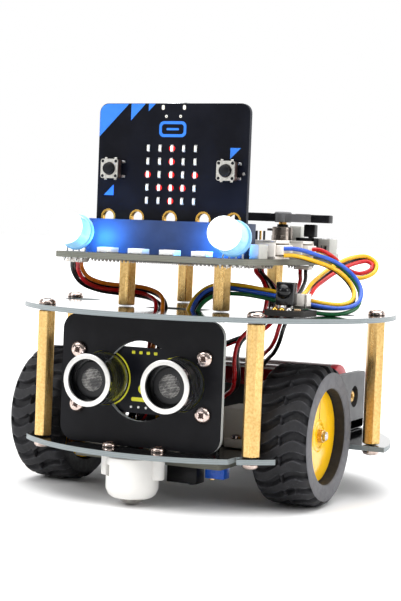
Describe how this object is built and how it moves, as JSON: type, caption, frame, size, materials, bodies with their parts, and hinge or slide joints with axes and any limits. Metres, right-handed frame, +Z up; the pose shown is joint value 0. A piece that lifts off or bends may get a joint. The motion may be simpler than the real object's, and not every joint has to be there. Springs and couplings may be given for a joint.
{
  "type": "two wheel robot car",
  "caption": "Round double-deck two-wheel robot car with ball casters, an ultrasonic ranger, lamps and an upright plug-in controller board.",
  "frame": {"origin": "on the floor under the centre of the round decks", "axes": "+Z up, the front with the ranger and lamps faces -Y, the car's own left is +X"},
  "size_m": [0.122, 0.122, 0.1225],
  "materials": {
    "deck": "gloss black laminate",
    "panel": "satin black laminate",
    "board": "black solder resist",
    "brass": "turned, bright",
    "white": "white nylon",
    "grey": "light grey",
    "black": "black moulding",
    "yellow": "gloss yellow",
    "tyre": "moulded tread",
    "steel": "plated",
    "can": "polished",
    "cell": "dark red wrap",
    "lamp": "clear, lit pale blue",
    "lead": "coloured insulation"
  },
  "bodies": {
    "chassis": {"battery_holder": "black", "battery_lead": "lead", "button_a_body": "steel", "button_b_body": "steel", "carrier_board": "board", "cell_front": "cell", "cell_rear": "cell", "controller_board": "board", "edge_connector": "black", "front_caster_housing": "white", "front_panel": "panel", "gearbox_left": "brass", "gearbox_right": "brass", "ir_board": "board", "ir_receiver": "black", "ir_receiver_lead": "lead", "knob_base": "steel", "lamp_left": "lamp", "lamp_right": "lamp", "line_sensor_board": "board", "line_sensor_lead": "lead", "long_post_front_left": "brass", "long_post_front_right": "brass", "long_post_side_left": "brass", "long_post_side_right": "brass", "lower_deck": "deck", "motor_bracket_left": "white", "motor_bracket_right": "white", "motor_can_left": "steel", "motor_can_right": "steel", "motor_lead": "lead", "power_switch_body": "black", "rear_caster_housing": "white", "reset_button_body": "steel", "short_post_front_left": "brass", "short_post_front_right": "brass", "short_post_rear_left": "brass", "short_post_rear_right": "brass", "socket_front": "white", "socket_rear": "white", "sonar_board": "board", "sonar_can_left": "can", "sonar_can_right": "can", "sonar_lead": "lead", "terminal_block": "grey", "upper_deck": "deck", "usb_socket": "steel"},
    "wheel_left": {"axle_left": "steel", "hub_left": "yellow", "tyre_left": "tyre"},
    "wheel_right": {"axle_right": "steel", "hub_right": "yellow", "tyre_right": "tyre"},
    "front_ball": {"front_caster_ball": "steel"},
    "rear_ball": {"rear_caster_ball": "steel"},
    "button_a": {"button_a_plunger": "black"},
    "button_b": {"button_b_plunger": "black"},
    "reset_button": {"reset_button_cap": "black"},
    "power_lever": {"power_switch_lever": "black"},
    "knob": {"turn_knob": "black"}
  },
  "joints": [
    {"name": "wheel_left_spin", "type": "hinge", "parent": "chassis", "child": "wheel_left", "pos_m": [0.04185, -0.0204, 0.0218], "axis": [1, 0, 0], "continuous": true},
    {"name": "wheel_right_spin", "type": "hinge", "parent": "chassis", "child": "wheel_right", "pos_m": [-0.04185, -0.0204, 0.0218], "axis": [1, 0, 0], "continuous": true},
    {"name": "front_ball_roll", "type": "hinge", "parent": "chassis", "child": "front_ball", "pos_m": [0, -0.052, 0.005], "axis": [1, 0, 0], "continuous": true},
    {"name": "rear_ball_roll", "type": "hinge", "parent": "chassis", "child": "rear_ball", "pos_m": [0, 0.0515, 0.005], "axis": [1, 0, 0], "continuous": true},
    {"name": "button_a_press", "type": "slide", "parent": "chassis", "child": "button_a", "axis": [0, 1, 0], "range_m": [0, 0.00025], "stiffness_N_per_m": 800, "springref_m": -0.0001},
    {"name": "button_b_press", "type": "slide", "parent": "chassis", "child": "button_b", "axis": [0, 1, 0], "range_m": [0, 0.00025], "stiffness_N_per_m": 800, "springref_m": -0.0001},
    {"name": "reset_button_press", "type": "slide", "parent": "chassis", "child": "reset_button", "axis": [0, -1, 0], "range_m": [0, 0.00025], "stiffness_N_per_m": 800, "springref_m": -0.0001},
    {"name": "power_switch_slide", "type": "slide", "parent": "chassis", "child": "power_lever", "axis": [-1, 0, 0], "range_m": [0, 0.0015]},
    {"name": "turn_knob_turn", "type": "hinge", "parent": "chassis", "child": "knob", "pos_m": [0.0204, 0.01, 0.0885], "axis": [0, 0, 1], "range_deg": [-140, 140]}
  ]
}
